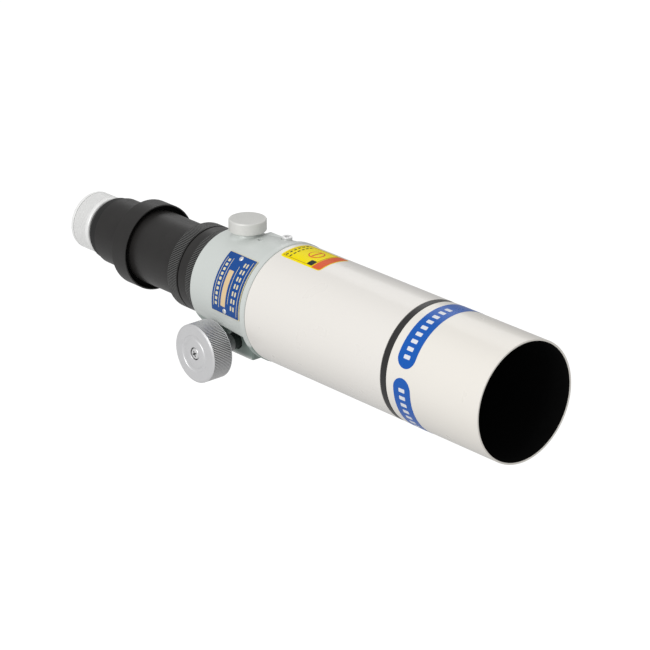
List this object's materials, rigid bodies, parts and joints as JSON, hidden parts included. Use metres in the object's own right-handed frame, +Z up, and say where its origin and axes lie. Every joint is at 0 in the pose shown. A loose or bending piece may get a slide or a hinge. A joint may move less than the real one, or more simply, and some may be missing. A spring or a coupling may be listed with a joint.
{
  "type": "refracting telescope tube",
  "caption": "Small refracting telescope tube with dew shield, tapered rack-and-pinion focuser, lock knob and clamping eyepiece holder.",
  "frame": {"origin": "on the optical axis, at the middle of the stretch of tube that a tube holder clamps", "axes": "+X along the optical axis towards the sky, +Y towards the left focusing knob, +Z up through the lock knob"},
  "size_m": [0.4235, 0.1068, 0.0987],
  "materials": {
    "white_paint": "gloss",
    "green_paint": "semi-gloss",
    "black_anodised": "black anodised, satin",
    "matt_black": "matt",
    "black_plastic": "matt",
    "satin_aluminium": "satin, turned",
    "bright_steel": "bright",
    "chrome": "polished",
    "brass": "satin",
    "blue_enamel": "semi-gloss",
    "coated_glass": "anti-reflection coated"
  },
  "bodies": {
    "tube": {"dew_shield": "white_paint", "lens_cell": "black_anodised", "objective_front_lens": "coated_glass", "objective_rear_lens": "coated_glass", "lens_spacer": "black_anodised", "lens_retaining_ring": "black_anodised", "main_tube": "white_paint", "tube_baffle_front": "matt_black", "tube_baffle_rear": "matt_black", "focuser_body": "green_paint", "guide_ring_front": "black_plastic", "guide_ring_rear": "black_plastic", "pinion_cover": "green_paint", "pinion_cover_screw_1": "bright_steel", "pinion_cover_screw_2": "bright_steel", "pinion_cover_screw_3": "bright_steel", "pinion_cover_screw_4": "bright_steel", "pinion_bearing_left": "black_plastic", "pinion_bearing_right": "black_plastic", "finder_foot_screw": "bright_steel", "tension_screw": "bright_steel", "nameplate": "blue_enamel", "nameplate_screw_1": "bright_steel", "nameplate_screw_2": "bright_steel"},
    "drawtube": {"drawtube": "chrome", "drawtube_rack": "bright_steel", "rack_screw_front": "bright_steel", "rack_screw_rear": "bright_steel", "drawtube_collar": "black_anodised", "coupling_ring": "black_anodised", "extension_tube": "black_anodised", "visual_back": "black_anodised", "eyepiece_adapter": "black_anodised"},
    "focus_shaft": {"pinion_gear": "bright_steel", "pinion_shaft": "bright_steel", "focus_knob_left": "satin_aluminium", "focus_knob_right": "satin_aluminium", "focus_knob_screw_left": "bright_steel", "focus_knob_screw_right": "bright_steel"},
    "lock_pad": {"lock_pad": "brass"},
    "lock_knob": {"lock_knob": "satin_aluminium", "lock_stud": "bright_steel"},
    "compression_ring": {"compression_ring": "brass"},
    "clamping_collar": {"clamping_collar": "satin_aluminium"}
  },
  "joints": [
    {"name": "drawtube_slide", "type": "slide", "parent": "tube", "child": "drawtube", "axis": [-1, 0, 0], "range_m": [0, 0.03]},
    {"name": "focus_spin", "type": "hinge", "parent": "tube", "child": "focus_shaft", "pos_m": [-0.1, 0, -0.03195], "axis": [0, -1, 0], "range_deg": [0, 382]},
    {"name": "lock_lift", "type": "slide", "parent": "tube", "child": "lock_pad", "axis": [0, 0, 1], "range_m": [0, 0.0006]},
    {"name": "lock_turn", "type": "hinge", "parent": "lock_pad", "child": "lock_knob", "pos_m": [-0.1084, 0, 0.0425], "axis": [0, 0, 1], "range_deg": [0, 272]},
    {"name": "collar_advance", "type": "slide", "parent": "drawtube", "child": "compression_ring", "axis": [-1, 0, 0], "range_m": [0, 0.0005]},
    {"name": "collar_turn", "type": "hinge", "parent": "compression_ring", "child": "clamping_collar", "pos_m": [-0.264, 0, 0], "axis": [-1, 0, 0], "range_deg": [0, 121]}
  ],
  "couplings": [
    {"joint": "focus_spin", "follows": "drawtube_slide", "rad_per_m": 222.22},
    {"joint": "lock_turn", "follows": "lock_lift", "rad_per_m": 7854},
    {"joint": "collar_turn", "follows": "collar_advance", "rad_per_m": 4188.8}
  ]
}
